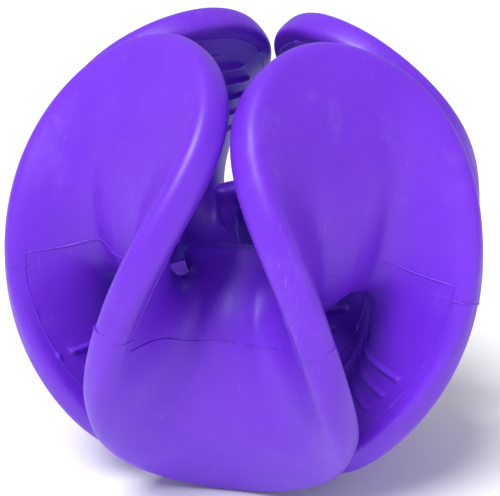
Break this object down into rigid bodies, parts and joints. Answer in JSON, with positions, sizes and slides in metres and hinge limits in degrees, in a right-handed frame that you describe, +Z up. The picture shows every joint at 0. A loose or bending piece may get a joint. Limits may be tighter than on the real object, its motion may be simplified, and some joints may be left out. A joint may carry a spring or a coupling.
{
  "type": "lobed rubber play ball",
  "caption": "Open hollow rubber ball made of one wavy wall with lobes above and below, for bouncing, throwing and gripping.",
  "frame": {"origin": "centre of the ball, halfway between the tips of the upper and lower lobes", "axes": "+Z up along the ball's axis; a lower lobe faces -Y, the upper lobes stand at 45 degrees to X and Y"},
  "size_m": [0.0834, 0.0834, 0.0832],
  "materials": {
    "rubber": "satin"
  },
  "bodies": {
    "root": {"upper_web_1": "rubber", "lower_web_1": "rubber", "upper_web_2": "rubber", "lower_web_2": "rubber", "upper_web_3": "rubber", "lower_web_3": "rubber", "upper_web_4": "rubber", "lower_web_4": "rubber", "upper_lobe_1": "rubber", "lower_lobe_1": "rubber", "upper_lobe_2": "rubber", "lower_lobe_2": "rubber", "upper_lobe_3": "rubber", "lower_lobe_3": "rubber", "upper_lobe_4": "rubber", "lower_lobe_4": "rubber"}
  },
  "joints": []
}
